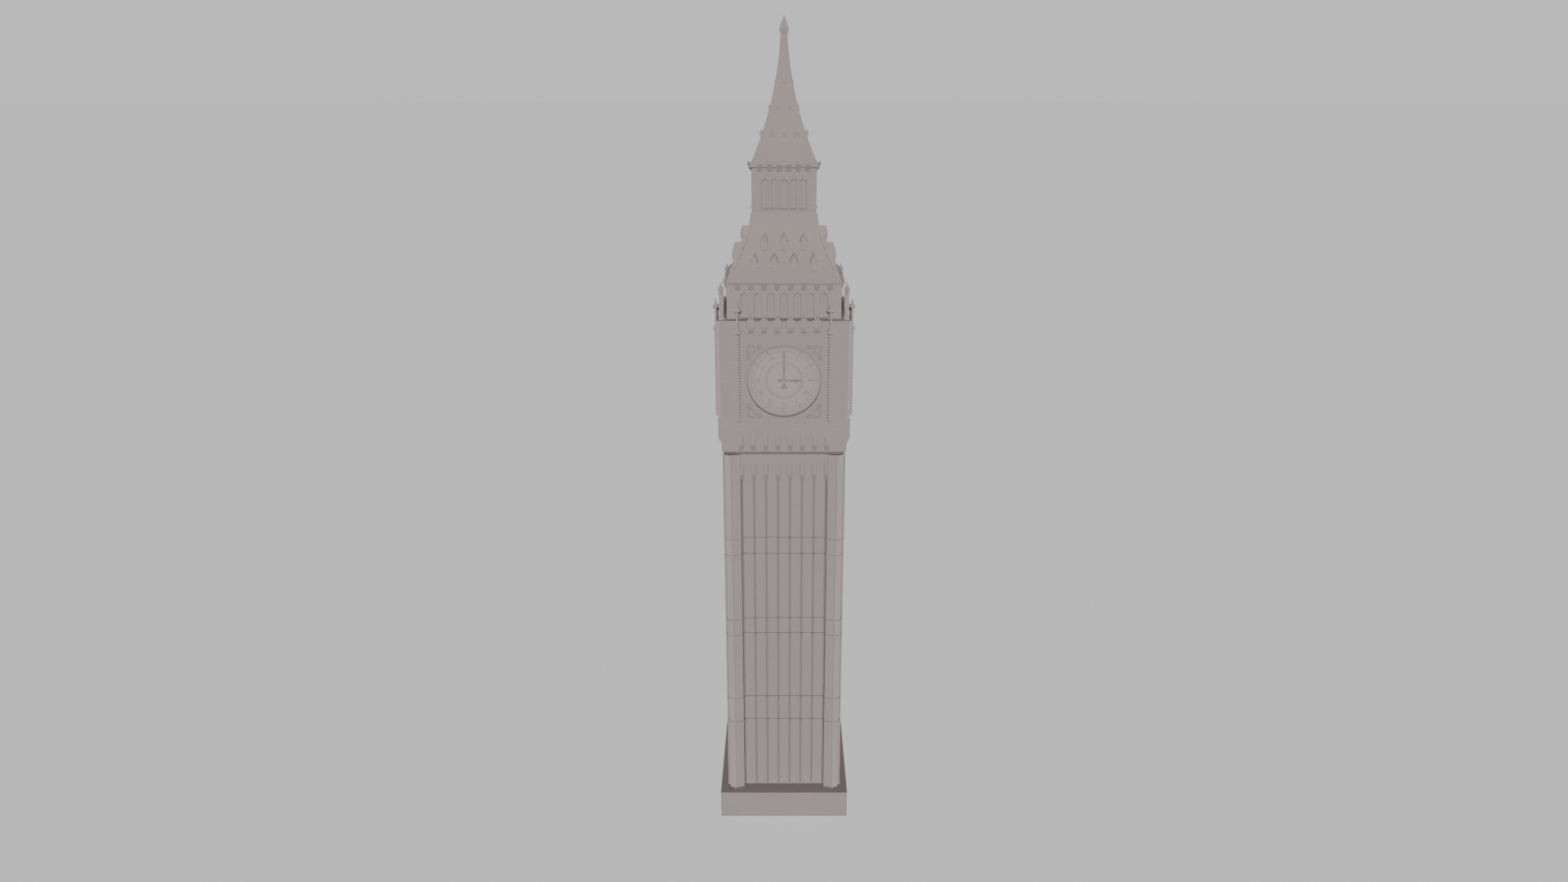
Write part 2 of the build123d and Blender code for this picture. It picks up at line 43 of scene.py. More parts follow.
bpy.ops.object.camera_add(location=(0, -camera_distance, camera_height), rotation=(camera_tilt, 0, 0))
camera = bpy.context.object
camera.name = "camera"
camera.data.sensor_width = 36
camera.data.lens = 24.44
camera.data.clip_end = 1000
bpy.context.scene.camera = camera

# Studio: a pale floor under a pale world, with four soft lamps low over the horizon.
# The low lamps light upright walls evenly and leave level tops darker, as in the photograph.
bpy.ops.mesh.primitive_circle_add(vertices=64, radius=600, fill_type="NGON", location=(0, 0, 0))
floor = bpy.context.object
floor.name = "studio_floor"
floor_paint = bpy.data.materials.new("studio floor")
floor_paint.use_nodes = True
nodes, links = floor_paint.node_tree.nodes, floor_paint.node_tree.links
paper = nodes["Principled BSDF"]
paper.inputs["Base Color"].default_value = (0.26, 0.26, 0.26, 1)
paper.inputs["Roughness"].default_value = 0.95
paper.inputs["Specular IOR Level"].default_value = 0
rays = nodes.new("ShaderNodeLightPath")
glow = nodes.new("ShaderNodeEmission")
glow.inputs["Color"].default_value = (1, 1, 1, 1)
seen = nodes.new("ShaderNodeMath")
seen.operation = "MULTIPLY"
seen.inputs[1].default_value = 0.6
links.new(rays.outputs["Is Camera Ray"], seen.inputs[0])
links.new(seen.outputs[0], glow.inputs["Strength"])
both = nodes.new("ShaderNodeAddShader")
links.new(paper.outputs[0], both.inputs[0])
links.new(glow.outputs[0], both.inputs[1])
links.new(both.outputs[0], nodes["Material Output"].inputs["Surface"])
floor.data.materials.append(floor_paint)

world = bpy.data.worlds.new("studio")
bpy.context.scene.world = world
world.use_nodes = True
nodes, links = world.node_tree.nodes, world.node_tree.links
sky = nodes["Background"]
sky.inputs["Color"].default_value = (1, 1, 1, 1)
sky.inputs["Strength"].default_value = 0.03
backdrop = nodes.new("ShaderNodeBackground")
backdrop.inputs["Color"].default_value = (1, 1, 1, 1)
backdrop.inputs["Strength"].default_value = 0.72
rays = nodes.new("ShaderNodeLightPath")
either = nodes.new("ShaderNodeMath")
either.operation = "MAXIMUM"
links.new(rays.outputs["Is Camera Ray"], either.inputs[0])
links.new(rays.outputs["Is Glossy Ray"], either.inputs[1])
mix = nodes.new("ShaderNodeMixShader")
links.new(either.outputs[0], mix.inputs["Fac"])
links.new(sky.outputs[0], mix.inputs[1])
links.new(backdrop.outputs[0], mix.inputs[2])
links.new(mix.outputs[0], nodes["World Output"].inputs["Surface"])

for name, turn, height, strength in (
    ("front", 0, 16, 3.2),
    ("right", 90, 1, 2.7),
    ("back", 180, 1, 3.2),
    ("left", -90, 1, 2.7),
):
    bpy.ops.object.light_add(type="SUN", rotation=(math.radians(90 - height), 0, math.radians(turn)))
    lamp = bpy.context.object
    lamp.name = "lamp_" + name
    lamp.data.energy = strength
    lamp.data.angle = math.radians(6)


# Limestone: the walls and the plinth are dressed blocks, laid in level courses with thin joints.
# The colour clouds a little from block to block, and edges are rubbed slightly paler.
def new_group(name, inputs, outputs):
    group = bpy.data.node_groups.new(name, "ShaderNodeTree")
    for socket, value in inputs:
        made = group.interface.new_socket(socket, in_out="INPUT", socket_type="NodeSocketFloat")
        made.default_value = value
    for socket in outputs:
        group.interface.new_socket(socket, in_out="OUTPUT", socket_type="NodeSocketFloat")
    return group, group.nodes.new("NodeGroupInput"), group.nodes.new("NodeGroupOutput")


weather, given, result = new_group("weathering", [("Cloud", 1.2), ("Grain", 60.0)], ["Tone", "Height"])
nodes, links = weather.nodes, weather.links
places = nodes.new("ShaderNodeTexCoord")
cloud = nodes.new("ShaderNodeTexNoise")
cloud.inputs["Detail"].default_value = 5
links.new(places.outputs["Object"], cloud.inputs["Vector"])
links.new(given.outputs["Cloud"], cloud.inputs["Scale"])
grain = nodes.new("ShaderNodeTexNoise")
grain.inputs["Detail"].default_value = 3
links.new(places.outputs["Object"], grain.inputs["Vector"])
links.new(given.outputs["Grain"], grain.inputs["Scale"])
blend = nodes.new("ShaderNodeMath")
blend.operation = "MULTIPLY_ADD"
blend.inputs[1].default_value = 0.35
links.new(grain.outputs["Fac"], blend.inputs[0])
links.new(cloud.outputs["Fac"], blend.inputs[2])
links.new(blend.outputs[0], result.inputs["Tone"])
links.new(grain.outputs["Fac"], result.inputs["Height"])

rubbed, given, result = new_group("rubbed edges", [("Width", 0.004)], ["Wear"])
nodes, links = rubbed.nodes, rubbed.links
rounded = nodes.new("ShaderNodeBevel")
rounded.samples = 4
links.new(given.outputs["Width"], rounded.inputs["Radius"])
facing = nodes.new("ShaderNodeNewGeometry")
agreement = nodes.new("ShaderNodeVectorMath")
agreement.operation = "DOT_PRODUCT"
links.new(rounded.outputs["Normal"], agreement.inputs[0])
links.new(facing.outputs["Normal"], agreement.inputs[1])
wear = nodes.new("ShaderNodeMapRange")
wear.inputs["From Min"].default_value = 0.99
wear.inputs["From Max"].default_value = 0.85
links.new(agreement.outputs["Value"], wear.inputs["Value"])
links.new(wear.outputs["Result"], result.inputs["Wear"])

# Painted shade: the colour is darkened towards the dark tone in corners, creases and recesses, where ambient
# occlusion finds them.
painted_shade, given, result = new_group("grime in corners", [("Reach", 0.02)], ["Painted Shade"])
nodes, links = painted_shade.nodes, painted_shade.links
corners = nodes.new("ShaderNodeAmbientOcclusion")
corners.samples = 8
links.new(given.outputs["Reach"], corners.inputs["Distance"])
shade_amount = nodes.new("ShaderNodeMapRange")
shade_amount.inputs["From Min"].default_value = 0.9
shade_amount.inputs["From Max"].default_value = 0.35
links.new(corners.outputs["AO"], shade_amount.inputs["Value"])
links.new(shade_amount.outputs["Result"], result.inputs["Painted Shade"])

jointing, given, result = new_group(
    "jointing", [("Length", 0.06), ("Course", 0.03), ("Joint", 0.0012)], ["Joint", "Block"]
)
nodes, links = jointing.nodes, jointing.links
places = nodes.new("ShaderNodeTexCoord")
apart = nodes.new("ShaderNodeSeparateXYZ")
links.new(places.outputs["Object"], apart.inputs[0])
faces = nodes.new("ShaderNodeSeparateXYZ")
links.new(places.outputs["Normal"], faces.inputs[0])
size = {}
for axis in "XY":
    size[axis] = nodes.new("ShaderNodeMath")
    size[axis].operation = "ABSOLUTE"
    links.new(faces.outputs[axis], size[axis].inputs[0])
sideways = nodes.new("ShaderNodeMath")
sideways.operation = "GREATER_THAN"
links.new(size["X"].outputs[0], sideways.inputs[0])
links.new(size["Y"].outputs[0], sideways.inputs[1])
along = nodes.new("ShaderNodeMix")
links.new(sideways.outputs[0], along.inputs["Factor"])
links.new(apart.outputs["X"], along.inputs["A"])
links.new(apart.outputs["Y"], along.inputs["B"])
wall = nodes.new("ShaderNodeCombineXYZ")
links.new(along.outputs["Result"], wall.inputs["X"])
links.new(apart.outputs["Z"], wall.inputs["Y"])
blocks = nodes.new("ShaderNodeTexBrick")
blocks.inputs["Color1"].default_value = (0, 0, 0, 1)
blocks.inputs["Color2"].default_value = (1, 1, 1, 1)
blocks.inputs["Mortar"].default_value = (0.5, 0.5, 0.5, 1)
blocks.inputs["Scale"].default_value = 1
blocks.inputs["Mortar Smooth"].default_value = 0.3
links.new(wall.outputs[0], blocks.inputs["Vector"])
links.new(given.outputs["Length"], blocks.inputs["Brick Width"])
links.new(given.outputs["Course"], blocks.inputs["Row Height"])
links.new(given.outputs["Joint"], blocks.inputs["Mortar Size"])
links.new(blocks.outputs["Fac"], result.inputs["Joint"])
links.new(blocks.outputs["Color"], result.inputs["Block"])


def finish(
    name,
    pale,
    dark,
    roughness,
    cloud_scale,
    grain_scale,
    block_length=9.0,
    course=9.0,
    joint=0.0,
    joint_depth=0.0,
    edge=0.004,
    reach=0.012,
    corner_shade=0.4,
):
    # One matte finish: two tones that cloud into each other, joints, rubbed edges, painted shade in corners
    # and grain.
    # Blocks of 9 m are longer than the tower is high, so a finish that leaves them so shows no joints.
    joint_tone, worn_tone = 0.93, 1.08
    material = bpy.data.materials.new(name)
    material.use_nodes = True
    nodes, links = material.node_tree.nodes, material.node_tree.links
    shader = nodes["Principled BSDF"]
    shader.inputs["Specular IOR Level"].default_value = 0.25
    parts = {}
    for key, group, values in (
        ("weather", weather, {"Cloud": cloud_scale, "Grain": grain_scale}),
        ("joints", jointing, {"Length": block_length, "Course": course, "Joint": joint}),
        ("edges", rubbed, {"Width": edge}),
        ("painted_shade", painted_shade, {"Reach": reach}),
    ):
        parts[key] = nodes.new("ShaderNodeGroup")
        parts[key].node_tree = group
        for socket, value in values.items():
            parts[key].inputs[socket].default_value = value
    tones = nodes.new("ShaderNodeMix")
    tones.data_type = "RGBA"
    tones.inputs["A"].default_value = (*dark, 1)
    tones.inputs["B"].default_value = (*pale, 1)
    spread = nodes.new("ShaderNodeMapRange")
    spread.inputs["From Min"].default_value = 0.35
    spread.inputs["From Max"].default_value = 1.0
    links.new(parts["weather"].outputs["Tone"], spread.inputs["Value"])
    by_block = nodes.new("ShaderNodeMath")
    by_block.operation = "MULTIPLY_ADD"
    by_block.inputs[1].default_value = 0.25
    links.new(parts["joints"].outputs["Block"], by_block.inputs[0])
    links.new(spread.outputs["Result"], by_block.inputs[2])
    links.new(by_block.outputs[0], tones.inputs["Factor"])
    colour = tones
    for part, output, tone in (
        ("joints", "Joint", [joint_tone * channel for channel in dark]),
        ("edges", "Wear", [min(worn_tone * channel, 1) for channel in pale]),
        # painted shade: darkens the colour in corners and recesses
        ("painted_shade", "Painted Shade", [(1 - corner_shade) * channel for channel in dark]),
    ):
        over = nodes.new("ShaderNodeMix")
        over.data_type = "RGBA"
        over.inputs["B"].default_value = (*tone, 1)
        links.new(colour.outputs["Result"], over.inputs["A"])
        links.new(parts[part].outputs[output], over.inputs["Factor"])
        colour = over
    links.new(colour.outputs["Result"], shader.inputs["Base Color"])
    rough = nodes.new("ShaderNodeMapRange")
    rough.inputs["To Min"].default_value = roughness - 0.08
    rough.inputs["To Max"].default_value = roughness + 0.06
    links.new(parts["weather"].outputs["Tone"], rough.inputs["Value"])
    links.new(rough.outputs["Result"], shader.inputs["Roughness"])
    height = nodes.new("ShaderNodeMath")
    height.operation = "MULTIPLY_ADD"
    height.inputs[1].default_value = -joint_depth
    links.new(parts["joints"].outputs["Joint"], height.inputs[0])
    surface = nodes.new("ShaderNodeMath")
    surface.operation = "MULTIPLY"
    surface.inputs[1].default_value = 0.25
    links.new(parts["weather"].outputs["Height"], surface.inputs[0])
    links.new(surface.outputs[0], height.inputs[2])
    bump = nodes.new("ShaderNodeBump")
    bump.inputs["Strength"].default_value = 0.35
    bump.inputs["Distance"].default_value = 0.001
    links.new(height.outputs[0], bump.inputs["Height"])
    links.new(bump.outputs["Normal"], shader.inputs["Normal"])
    return material


def dress(material, *names):
    # A CAD node keeps its shape and takes this finish
    for name in names:
        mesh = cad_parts[name].data
        mesh.materials.clear()
        mesh.materials.append(material)


sides = ("front", "right", "back", "left")
limestone = finish(
    "limestone",
    pale=(0.362, 0.306, 0.311),
    dark=(0.338, 0.285, 0.291),
    roughness=0.86,
    cloud_scale=1.3,
    grain_scale=70,
    block_length=0.075,
    course=0.032,
    joint=0.0012,
    joint_depth=1.0,
)
plinth_stone = finish(
    "plinth stone",
    pale=(0.358, 0.303, 0.308),
    dark=(0.338, 0.285, 0.291),
    roughness=0.84,
    cloud_scale=1.0,
    grain_scale=60,
    block_length=0.35,
    course=0.1535,
    joint=0.0015,
    joint_depth=1.0,
)
dress(plinth_stone, "plinth")


# Shaft: four ribbed walls of small limestone blocks, closed at the corners by piers with a ridge.
# They are laid in level courses from the plinth's top up to the clock stage.
dress(limestone, "corner_piers", *["shaft_wall_" + side for side in sides])


# String courses: six thin moulded bands of stone that run round the piers, the walls and the ribs.
# Each is a slice of the wall behind it, swelled outwards and rounded on its edges.
def deselect():
    bpy.ops.object.select_all(action="DESELECT")


def active(piece):
    deselect()
    piece.select_set(True)
    bpy.context.view_layer.objects.active = piece


def edit(piece):
    # Starts editing a piece with all of it selected
    active(piece)
    bpy.ops.object.mode_set(mode="EDIT")
    bpy.ops.mesh.select_all(action="SELECT")


def leave_edit():
    bpy.ops.object.mode_set(mode="OBJECT")


def pick(piece, kind, test):
    # Selects the faces or vertices that pass the test, and stays in edit mode
    bpy.ops.object.mode_set(mode="EDIT")
    bpy.ops.mesh.select_mode(type="FACE" if kind == "polygons" else "VERT")
    bpy.ops.mesh.select_all(action="DESELECT")
    leave_edit()
    for item in getattr(piece.data, kind):
        item.select = test(item)
    bpy.ops.object.mode_set(mode="EDIT")


def copy_of(piece, move=(0, 0, 0), turn=0):
    # A copy with its own mesh, turned about the tower's upright axis and moved
    made = piece.copy()
    made.data = piece.data.copy()
    made.parent = None
    bpy.context.collection.objects.link(made)
    made.data.transform(Matrix.Translation(move) @ Matrix.Rotation(math.radians(turn), 4, "Z"))
    return made


def rest(piece):
    active(piece)
    bpy.ops.object.transform_apply(location=True, rotation=True, scale=True)
    return piece


def joined(pieces):
    active(pieces[0])
    for piece in pieces:
        piece.select_set(True)
    if len(pieces) > 1:
        bpy.ops.object.join()
    return rest(bpy.context.object)


def on_four_sides(piece):
    return joined([piece, *[copy_of(piece, turn=turn) for turn in (90, 180, 270)]])


def rounded_edges(piece, width, segments=2):
    active(piece)
    modifier = piece.modifiers.new("rounded", "BEVEL")
    modifier.width = width
    modifier.segments = segments
    modifier.limit_method = "ANGLE"
    modifier.angle_limit = math.radians(35)
    bpy.ops.object.modifier_apply(modifier=modifier.name)


def place(piece, name, body, slot, material, *replaced):
    # A finished piece gets its name, its finish, the body that it rides on and the nodes that it stands for
    piece.name = name
    piece.data.materials.clear()
    piece.data.materials.append(material)
    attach(piece, body)
    if replaced:
        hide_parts(*replaced)
    return piece


def on_wall_front(face):
    return abs(face.normal.z) < 0.5 and face.normal.y < -0.2


def on_pier_outside(face):
    return abs(face.normal.z) < 0.5 and max(map(abs, face.center[:2])) > pier_outside


shaft_foot, shaft_top, pier_outside = 0.307, 4.232, 0.56
band_half, band_rise, band_rounding = 0.006, 0.008, 0.0025
courses = []
for level in (0.840, 1.126, 1.895, 2.075, 2.820, 3.000):
    for node, outer_face in (("shaft_wall_front", on_wall_front), ("corner_piers", on_pier_outside)):
        band = copy_of(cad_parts[node])
        low, high = shaft_foot + level - band_half, shaft_foot + level + band_half
        edit(band)
        bpy.ops.mesh.remove_doubles(threshold=0.00002)
        bpy.ops.mesh.bisect(plane_co=(0, 0, low), plane_no=(0, 0, 1), clear_inner=True, use_fill=True)
        bpy.ops.mesh.select_all(action="SELECT")
        bpy.ops.mesh.bisect(plane_co=(0, 0, high), plane_no=(0, 0, 1), clear_outer=True, use_fill=True)
        pick(band, "polygons", outer_face)
        bpy.ops.mesh.extrude_region_shrink_fatten(
            TRANSFORM_OT_shrink_fatten={"value": band_rise, "use_even_offset": True}
        )
        leave_edit()
        rounded_edges(band, band_rounding)
        courses.append(on_four_sides(band) if node == "shaft_wall_front" else band)
place(joined(courses), "string_courses", "tower", "stone", limestone)


# Pier rolls: a slim stone roll runs up the ridge of each pier face and ends in a small point.
# Each is turned in one length and let into the ridge.
def extrude(x, y, z):
    bpy.ops.mesh.extrude_region_move(TRANSFORM_OT_translate={"value": (x, y, z)})


def face_outwards():
    # Ends the editing of a piece with all its faces turned outwards
    bpy.ops.mesh.select_all(action="SELECT")
    bpy.ops.mesh.normals_make_consistent(inside=False)
    leave_edit()


def turned(profile, steps):
    # A profile of (radius, height) spun round the upright axis, closed where it meets the axis
    deselect()
    bpy.ops.mesh.primitive_plane_add(size=1, location=(0, 0, 0))
    piece = bpy.context.object
    bpy.ops.object.mode_set(mode="EDIT")
    bpy.ops.mesh.select_mode(type="VERT")
    bpy.ops.mesh.select_all(action="SELECT")
    bpy.ops.mesh.merge(type="CENTER")
    bpy.ops.mesh.select_all(action="SELECT")
    bpy.ops.transform.translate(value=(profile[0][0], 0, profile[0][1]))
    for (near, low), (far, high) in zip(profile, profile[1:]):
        extrude(far - near, 0, high - low)
    bpy.ops.mesh.select_all(action="SELECT")
    bpy.ops.mesh.spin(steps=steps, angle=2 * math.pi, center=(0, 0, 0), axis=(0, 0, 1))
    bpy.ops.mesh.select_all(action="SELECT")
    bpy.ops.mesh.remove_doubles(threshold=0.00001)
    face_outwards()
    return piece


def smooth(piece, angle=40):
    active(piece)
    bpy.ops.object.shade_smooth_by_angle(angle=math.radians(angle))


roll_radius, roll_ring, roll_foot = 0.010, 0.013, 0.014
ridge_across, ridge_out = 0.535, -0.610
roll = turned(
    [
        (0, shaft_foot),
        (roll_foot, shaft_foot),
        (roll_foot, shaft_foot + 0.03),
        (roll_radius, shaft_foot + 0.038),
        (roll_radius, shaft_top - 0.03),
        (roll_ring, shaft_top - 0.022),
        (roll_radius, shaft_top - 0.014),
        (0, shaft_top),
    ],
    steps=12,
)
smooth(roll)
rolls = joined([copy_of(roll, move=(across, ridge_out, 0)) for across in (ridge_across, -ridge_across)])
bpy.data.objects.remove(roll)
place(on_four_sides(rolls), "pier_rolls", "tower", "stone", limestone)


# Clock stage: the corbel course, the walls round the dials, the floors and the belfry over them.
# All are the same limestone, in larger blocks than the shaft's.
large_blocks = finish(
    "large limestone blocks",
    pale=(0.362, 0.306, 0.311),
    dark=(0.340, 0.287, 0.293),
    roughness=0.86,
    cloud_scale=1.6,
    grain_scale=70,
    block_length=0.11,
    course=0.045,
    joint=0.0012,
    joint_depth=1.0,
)
dress(large_blocks, "clock_room_floor", "gablet_parapets")
for side in sides:
    dress(large_blocks, "belfry_wall_" + side, "lantern_wall_" + side)

clock_foot, clock_top = 4.436, 5.607
wall_face, bracket_face = -0.651, -0.664


# Corbel course: an upright band of stone with an undercut foot, and a bracket over each rib.
# It is the solid's own form with the lip drawn back, and with the brackets leaning back to the wall.
def merged_copy(node):
    # A copy of a solid's loose triangles, with its doubles merged
    piece = copy_of(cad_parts[node])
    edit(piece)
    bpy.ops.mesh.remove_doubles(threshold=0.00002)
    leave_edit()
    return piece


def shift_edge(piece, axis, place_on_axis, level, shift):
    # Moves the vertices that lie on one upright plane at one level, or at every level where it is None
    def on_edge(vertex):
        on_plane = abs(vertex.co[axis] - place_on_axis) < 0.0006
        return on_plane and (level is None or abs(vertex.co.z - level) < 0.0006)

    pick(piece, "vertices", on_edge)
    bpy.ops.transform.translate(value=shift)
    leave_edit()


def place_on_sides(piece, name, slot, material, node, moves=False):
    # One copy a side in the place of that side's node, which is also the body that it rides on if it moves
    for side, turn in zip(sides, (0, 90, 180, 270)):
        replaced = node.format(side)
        body = replaced if moves else "tower"
        place(copy_of(piece, turn=turn), name.format(side), body, slot, material, replaced)
    bpy.data.objects.remove(piece)


lip, lip_foot, set_back = 0.658, 4.265, 0.036
bracket_foot, bracket_lean = clock_foot - 0.099, 0.0045
corbel = merged_copy("corbel_front")
shift_edge(corbel, 1, -lip, None, (0, set_back, 0))
shift_edge(corbel, 0, lip, None, (-set_back, 0, 0))
shift_edge(corbel, 0, -lip, None, (set_back, 0, 0))
shift_edge(corbel, 1, set_back - lip, lip_foot, (0, 0, 0.012))
shift_edge(corbel, 1, bracket_face, bracket_foot, (0, 0, 0.021))
shift_edge(corbel, 1, bracket_face, clock_foot, (0, bracket_lean, 0))
place_on_sides(corbel, "corbel_band_{}", "stone", large_blocks, "corbel_{}")


# Coving: a flat slope of stone leads from the shaft's head out to the corbel course, mitred at the corners.
# It stands on the shaft's top in front of the floor's edge.
def block(dimensions, centre):
    # A squared block to be cut or shaped further
    deselect()
    bpy.ops.mesh.primitive_cube_add(size=1, location=centre)
    bpy.ops.transform.resize(value=dimensions)
    return rest(bpy.context.object)


coving_top = 4.276
coving_foot_half, coving_top_half, coving_back = 0.572, 0.621, -0.551
coving = block(
    (2 * coving_top_half, coving_top_half + coving_back, coving_top - shaft_top),
    (0, (coving_back - coving_top_half) / 2, (shaft_top + coving_top) / 2),
)
for half, level, front in (
    (coving_foot_half, shaft_top, True),
    (-coving_back, shaft_top, False),
    (-coving_back, coving_top, False),
):
    pick(
        coving,
        "vertices",
        lambda vertex: abs(vertex.co.z - level) < 0.001 and (vertex.co.y < -coving_top_half + 0.001) == front,
    )
    bpy.ops.transform.resize(value=(half / coving_top_half, 1, 1), center_override=(0, 0, level))
    if front:
        bpy.ops.transform.translate(value=(0, coving_top_half - coving_foot_half, 0))
    leave_edit()
place(on_four_sides(coving), "corbel_coving", "tower", "stone", large_blocks)

# Clock walls and the slab on them: a chamfer takes off their corners, and stops at the colonnettes' feet.
# The brackets' heads die away into the wall's face.
chamfer, chamfer_foot = 0.026, clock_top - 0.990
chamfer_height = clock_top + 0.1 - chamfer_foot
cutter = block((math.sqrt(2) * chamfer, math.sqrt(2) * chamfer, chamfer_height), (0, 0, 0))
cutter.rotation_euler = (0, 0, math.radians(45))
cutter.location = (-wall_face, wall_face, chamfer_foot + chamfer_height / 2)
rest(cutter)
cutters = on_four_sides(cutter)


def chamfered(stone):
    active(stone)
    cut = stone.modifiers.new("chamfer", "BOOLEAN")
    cut.operation = "DIFFERENCE"
    cut.object = cutters
    bpy.ops.object.modifier_apply(modifier=cut.name)
    return stone


bracket_head = clock_foot + 0.066
clock_wall = merged_copy("clock_wall_front")
shift_edge(clock_wall, 1, bracket_face, clock_foot, (0, bracket_lean, 0))
shift_edge(clock_wall, 1, bracket_face, bracket_head, (0, 0.0125, 0))
chamfered(clock_wall)
place_on_sides(clock_wall, "clock_stage_wall_{}", "stone", large_blocks, "clock_wall_{}")
place(chamfered(merged_copy("belfry_floor")), "walkway_slab", "tower", "stone", large_blocks, "belfry_floor")
bpy.data.objects.remove(cutters)

# Cornices: each wall runs up to a thin slab that overhangs it, and the lantern's slopes back to the roof.
# Each is one square block, built up by steps of half width and level.
for name, node, foot, profile in (
    (
        "belfry_cornice_slab",
        "belfry_cornice",
        5.897,
        [(0.5505, 5.947), (0.571, 5.947), (0.571, 5.955)],
    ),
    (
        "lantern_cornice_slab",
        "lantern_cornice",
        6.972,
        [(0.3105, 7.011), (0.333, 7.011), (0.333, 7.019), (0.304, 7.069)],
    ),
):
    (half, level), *steps = profile
    slab = block((2 * half, 2 * half, level - foot), (0, 0, (foot + level) / 2))
    pick(slab, "polygons", lambda face: face.normal.z > 0.5)
    for next_half, next_level in steps:
        growth = next_half / half
        extrude(0, 0, next_level - level)
        bpy.ops.transform.resize(value=(growth, growth, 1), center_override=(0, 0, next_level))
        half, level = next_half, next_level
    leave_edit()
    place(slab, name, "tower", "stone", large_blocks, node)

# Carved stone: the small trims are the same limestone without joints, with more painted shade between their
# mouldings.
# It makes the sills, roundels, gablet mouldings, colonnettes and pinnacles.
carved_stone = finish(
    "carved limestone",
    pale=(0.366, 0.309, 0.314),
    dark=(0.344, 0.290, 0.296),
    roughness=0.84,
    cloud_scale=2.0,
    grain_scale=90,
    reach=0.011,
    corner_shade=0.65,
)


# Lantern sills: a thin slab of carved stone lies along the foot of each blind bay of the lantern.
# Its front edges are eased, and its back is let into the wall.
def in_a_row(piece, count, pitch):
    # Copies side by side, centred on the front, in the place of the first
    copies = [copy_of(piece, move=((index - (count - 1) / 2) * pitch, 0, 0)) for index in range(count)]
    bpy.data.objects.remove(piece)
    return copies


lantern_bay = 0.091
sill = block((0.068, 0.032, 0.008), (0, -0.306, 6.623))
pick(sill, "polygons", lambda face: face.normal.y < -0.5)
bpy.ops.mesh.bevel(offset=0.0015, segments=1, affect="EDGES")
leave_edit()
place(on_four_sides(joined(in_a_row(sill, 5, lantern_bay))), "lantern_sills", "tower", "stone", carved_stone)


# Shields: a row of bare stone shields leans out under each cornice, each with a raised rim round its field.
# They are carved from the same stone as the walls and bedded under the slab.
def shield(width, foot, head, wall, lean):
    # A plane brought to a blunt point at its foot, leaned out at its head, then thickened and sunk
    thickness, rim, sinking = 0.004, 0.006, 0.003
    deselect()
    middle = (foot + head) / 2
    bpy.ops.mesh.primitive_plane_add(size=1, location=(0, -wall, middle), rotation=(math.pi / 2, 0, 0))
    piece = bpy.context.object
    bpy.ops.transform.resize(value=(width, 1, head - foot))
    rest(piece)
    shoulder = foot + 0.4 * width
    edit(piece)
    bpy.ops.mesh.bisect(plane_co=(0, 0, shoulder), plane_no=(0, 0, 1))
    bpy.ops.mesh.select_all(action="SELECT")
    bpy.ops.mesh.bisect(plane_co=(0, 0, shoulder), plane_no=(1, 0, 0))
    leave_edit()
    pick(piece, "vertices", lambda vertex: vertex.co.z < foot + 0.001 and abs(vertex.co.x) > 0.001)
    bpy.ops.transform.translate(value=(0, 0, 0.28 * width))
    bpy.ops.transform.resize(value=(0.8, 1, 1), center_override=(0, 0, 0))
    pick(piece, "vertices", lambda vertex: vertex.co.z > head - 0.001)
    bpy.ops.transform.translate(value=(0, -lean, 0))
    pick(piece, "vertices", lambda vertex: abs(vertex.co.z - shoulder) < 0.001)
    bpy.ops.transform.translate(value=(0, -lean * (shoulder - foot) / (head - foot), 0))
    bpy.ops.mesh.select_all(action="SELECT")
    extrude(0, -thickness, 0)
    bpy.ops.mesh.inset(thickness=rim)
    extrude(0, sinking, 0)
    face_outwards()
    return piece


belfry_shield = shield(width=0.051, foot=5.879, head=5.955, wall=0.550, lean=0.040)
shields = in_a_row(belfry_shield, 8, 0.12671)
lantern_shield = shield(width=0.049, foot=6.969, head=7.039, wall=0.310, lean=0.042)
shields += in_a_row(lantern_shield, 6, lantern_bay)
place(on_four_sides(joined(shields)), "cornice_shields", "tower", "stone", large_blocks)


# Spandrel roundels: raised stone rings with a dished middle, one large and two small at a dial's corners.
# They are carved on the wall's face, and so is the plain ring that surrounds the dial.
def upright_disc(radius, vertices, front, fill="NGON"):
    # A disc or a bare circle that faces the viewer about the dial's centre
    deselect()
    bpy.ops.mesh.primitive_circle_add(
        vertices=vertices,
        radius=radius,
        fill_type=fill,
        location=(0, front, dial_level),
        rotation=(math.pi / 2, 0, 0),
    )
    return rest(bpy.context.object)


dial_level = 5.004
carving_back = wall_face + 0.001
roundels = []
for radius, centres in (
    (0.043, [(0.32, 0.32)]),
    (0.023, [(0.244, 0.348), (0.346, 0.245)]),
):
    ring = upright_disc(radius, 32, carving_back)
    edit(ring)
    # Each step pushes the middle out or in, and then narrows it
    for push, narrowing in (
        (-0.007, 0.0015),
        (-0.002, 0.004),
        (0.0075, 0.45 * radius),
        (-0.002, 0.15 * radius),
    ):
        extrude(0, push, 0)
        bpy.ops.mesh.inset(thickness=narrowing)
    extrude(0, -0.001, 0)
    leave_edit()
    for across, up in centres:
        for right in (1, -1):
            for above in (1, -1):
                roundels.append(copy_of(ring, move=(right * across, 0, above * up)))
    bpy.data.objects.remove(ring)
surround_inner, surround_outer, surround_rise = 0.3585, 0.368, 0.006
widening = surround_outer / surround_inner
surround = upright_disc(surround_inner, 96, carving_back, fill="NOTHING")
edit(surround)
extrude(0, 0, 0)
bpy.ops.transform.resize(value=(widening, 1, widening), center_override=(0, wall_face, dial_level))
